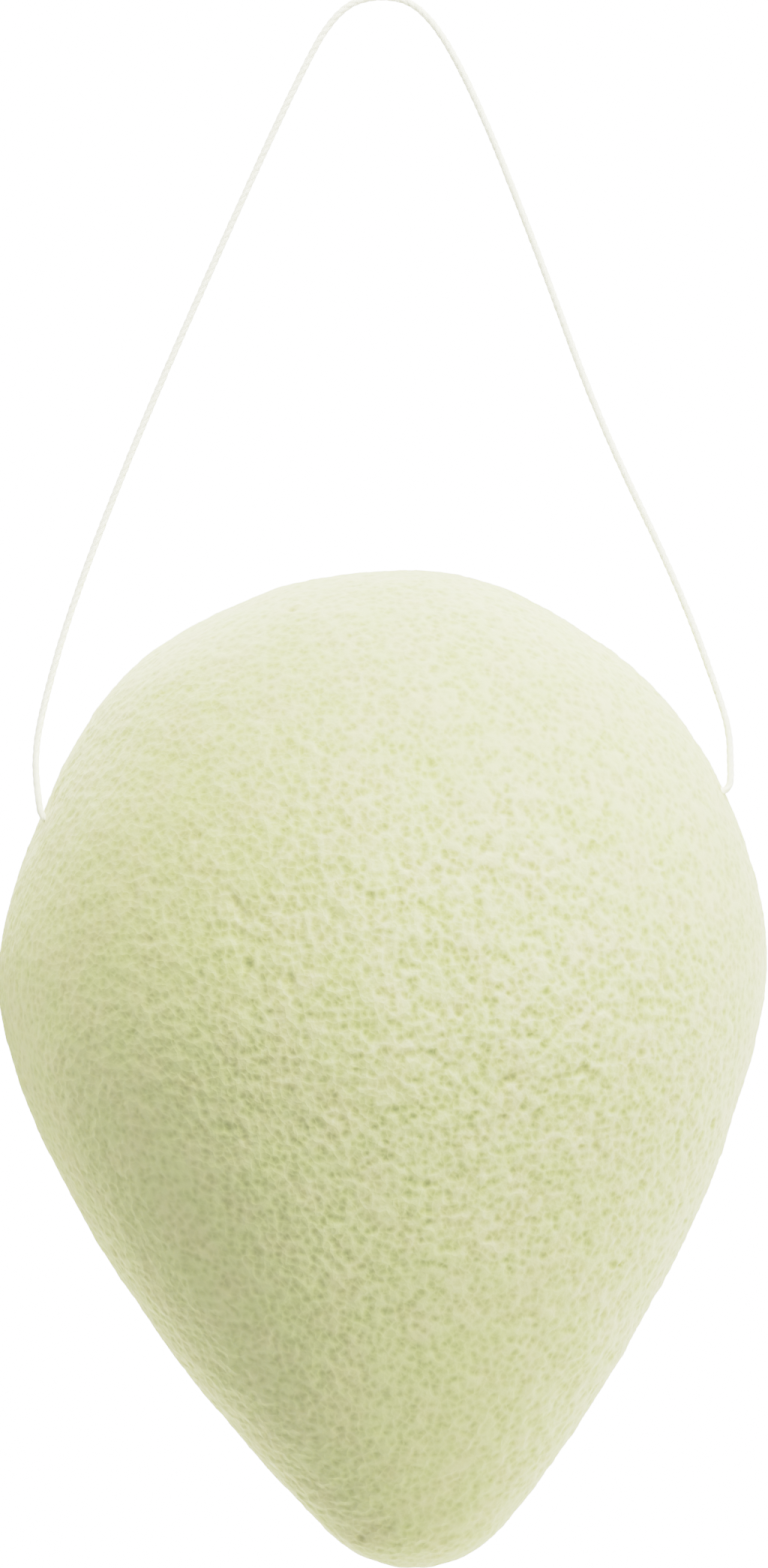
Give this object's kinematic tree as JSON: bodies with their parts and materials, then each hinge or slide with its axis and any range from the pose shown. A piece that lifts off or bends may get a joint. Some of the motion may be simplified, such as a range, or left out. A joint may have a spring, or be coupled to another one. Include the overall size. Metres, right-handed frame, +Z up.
{
  "type": "konjac sponge",
  "caption": "Drop-shaped konjac foam face sponge with a domed front and a flat back, threaded on a thin string loop that it hangs and swings from.",
  "frame": {"origin": "the hanging point: the inside of the top of the string's loop, where a hook carries it", "axes": "+Z up along the sponge's long axis, the domed front faces -Y and the flat back +Y, and the string's channel through the foam runs along X"},
  "size_m": [0.06, 0.032, 0.1224],
  "materials": {
    "konjac_foam": "matt open-cell plant-fibre foam, pale green",
    "cotton_string": "matt twisted cotton, off-white"
  },
  "bodies": {
    "string": {"hanging_loop": "cotton_string", "inner_run_left": "cotton_string", "inner_run_right": "cotton_string", "string_knot": "cotton_string"},
    "sponge": {"sponge_body": "konjac_foam"}
  },
  "joints": [
    {"name": "sponge_swing", "type": "hinge", "parent": "string", "child": "sponge", "pos_m": [-0.0031, 0, -0.0619], "axis": [1, 0, 0], "range_deg": [-120, 80]}
  ]
}
